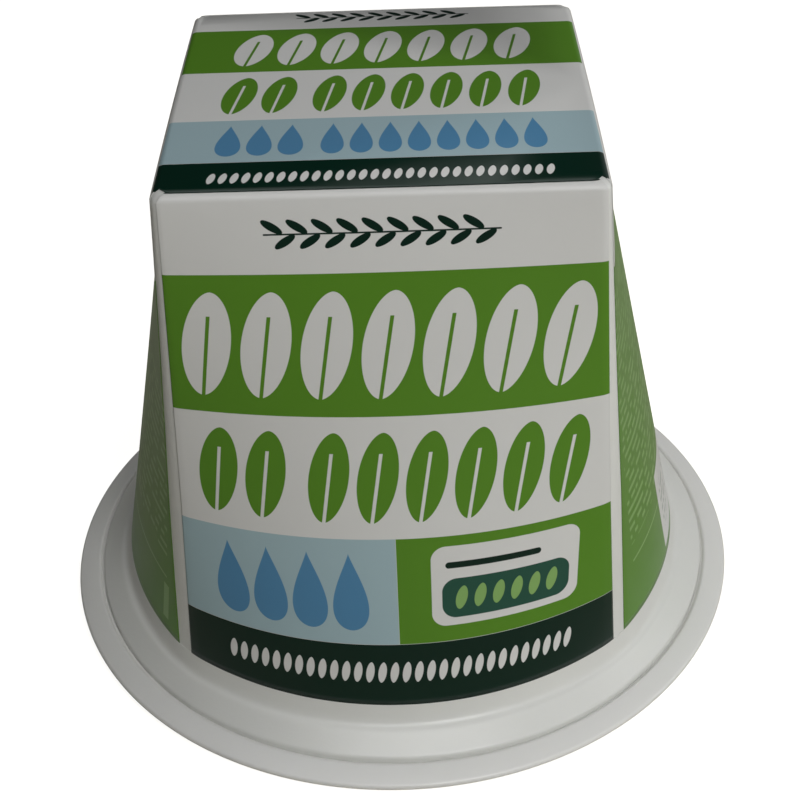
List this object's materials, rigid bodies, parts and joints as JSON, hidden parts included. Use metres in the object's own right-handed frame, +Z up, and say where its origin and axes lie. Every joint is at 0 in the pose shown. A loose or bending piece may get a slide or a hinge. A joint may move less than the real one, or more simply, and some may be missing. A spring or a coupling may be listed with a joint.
{
  "type": "tub of fresh goat cheese",
  "caption": "Shut white plastic tub of fresh goat cheese, a square pyramid with a cut-off top that turns round below, upside down on its saucer-shaped lid, with a green, white and blue label.",
  "frame": {"origin": "on the table, under the middle of the pack", "axes": "+Z up along the tub's axis, front panel towards -Y, +X to the right of the front panel"},
  "size_m": [0.0814, 0.0814, 0.0633],
  "materials": {
    "tub_plastic": "white moulded plastic, satin",
    "lid_plastic": "white moulded plastic, satin",
    "label_film": "printed film, satin"
  },
  "bodies": {
    "root": {"tub": "tub_plastic", "lid": "lid_plastic", "label": "label_film"}
  },
  "joints": []
}
